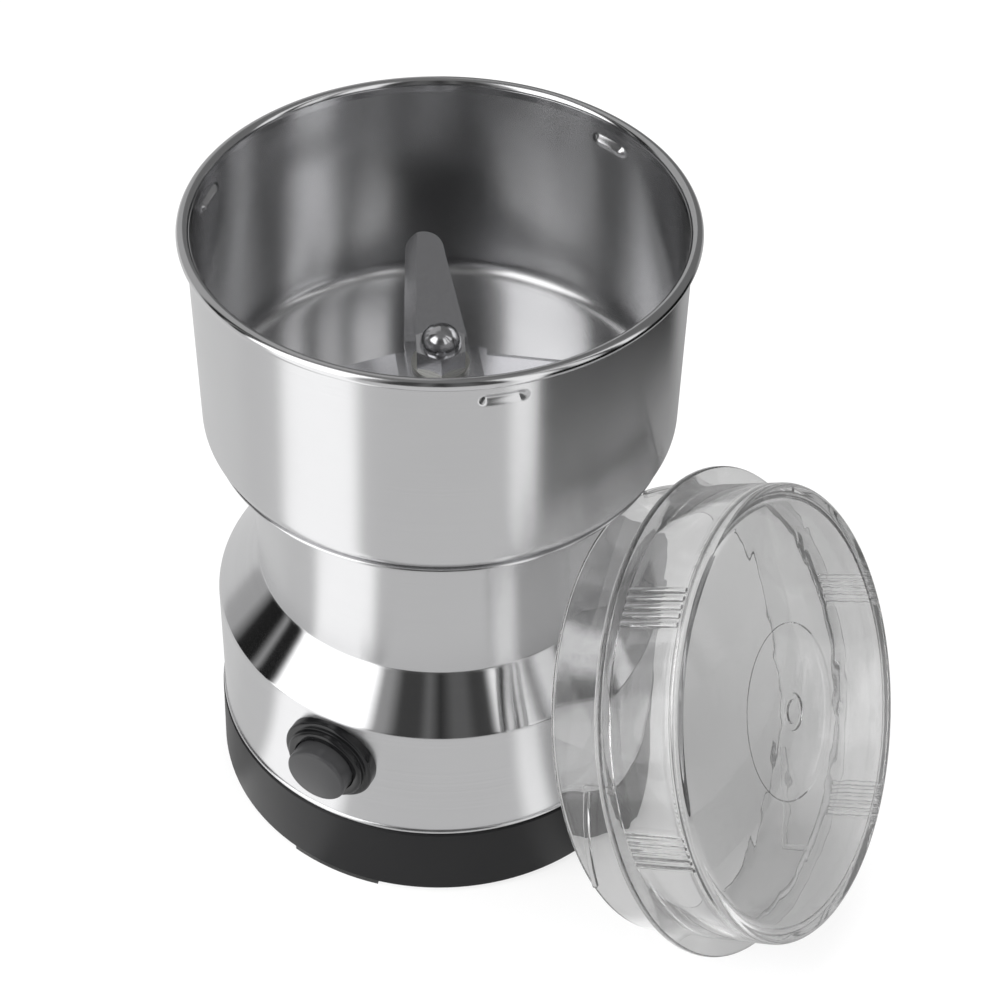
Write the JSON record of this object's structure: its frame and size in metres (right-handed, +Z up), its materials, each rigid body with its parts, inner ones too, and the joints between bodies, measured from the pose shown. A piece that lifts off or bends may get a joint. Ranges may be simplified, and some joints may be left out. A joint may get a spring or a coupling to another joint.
{
  "type": "electric spice grinder",
  "caption": "Electric spice grinder: open steel bowl with a four-winged blade on a waisted steel housing with a black base and push button; clear lid leaning beside it.",
  "frame": {"origin": "on the spindle's axis, level with the underside of the four foot pads", "axes": "+Z up along the spindle, -Y towards the push button, +X towards the leaning lid"},
  "size_m": [0.1548, 0.1088, 0.1441],
  "materials": {
    "foot_rubber": "matt moulded",
    "base_plastic": "satin moulded",
    "zinc_screw": "bright zinc",
    "inlet_rubber": "matt moulded",
    "shell_steel": "turned satin, polished shoulder",
    "button_plastic": "semi-gloss moulded",
    "pale_plastic": "natural moulded",
    "phenolic": "moulded",
    "contact_brass": "stamped",
    "cap_plastic": "satin moulded",
    "spring_steel": "drawn wire",
    "bearing_bronze": "sintered",
    "core_steel": "stacked sheet",
    "copper_wire": "enamelled",
    "carbon": "pressed carbon",
    "shaft_steel": "ground",
    "commutator_copper": "turned",
    "fan_plastic": "moulded",
    "gasket_rubber": "moulded",
    "bowl_steel": "turned satin",
    "seal_rubber": "satin moulded",
    "blade_steel": "polished, ground edge",
    "nut_steel": "polished",
    "clear_plastic": "clear moulded"
  },
  "bodies": {
    "housing": {"foot_pads": "foot_rubber", "base_cover": "base_plastic", "base_screws": "zinc_screw", "cord_inlet": "inlet_rubber", "body_shell": "shell_steel", "button_bezel": "button_plastic", "button_nut": "pale_plastic", "switch_body": "phenolic", "switch_terminals": "contact_brass", "button_spring": "spring_steel", "motor_frame": "pale_plastic", "upper_bearing": "bearing_bronze", "stator_core": "core_steel", "field_coils": "copper_wire", "motor_bolts": "zinc_screw", "lower_bracket": "phenolic", "lower_bearing": "bearing_bronze", "brush_holders": "contact_brass", "carbon_brushes": "carbon", "bowl_gasket": "gasket_rubber", "grinding_bowl": "bowl_steel", "bowl_nuts": "zinc_screw", "hub_seal": "seal_rubber"},
    "rotor": {"motor_shaft": "shaft_steel", "rotor_core": "core_steel", "rotor_windings": "copper_wire", "commutator": "commutator_copper", "cooling_fan": "fan_plastic", "blade_collar": "shaft_steel", "lower_blade": "blade_steel", "upper_blade": "blade_steel", "blade_washer": "zinc_screw", "blade_nut": "nut_steel"},
    "button": {"button_cap": "cap_plastic", "button_contact": "contact_brass"},
    "lid": {"lid": "clear_plastic"}
  },
  "joints": [
    {"name": "rotor_spin", "type": "hinge", "parent": "housing", "child": "rotor", "pos_m": [0, 0, 0.1], "axis": [0, 0, 1], "continuous": true},
    {"name": "button_press", "type": "slide", "parent": "housing", "child": "button", "axis": [0, 1, 0], "range_m": [0, 0.003], "stiffness_N_per_m": 500, "springref_m": -0.004, "deforming": ["button_spring"]},
    {"name": "lid_pull", "type": "slide", "parent": "housing", "child": "lid", "axis": [1, 0, 0], "range_m": [0, 0.07]}
  ]
}
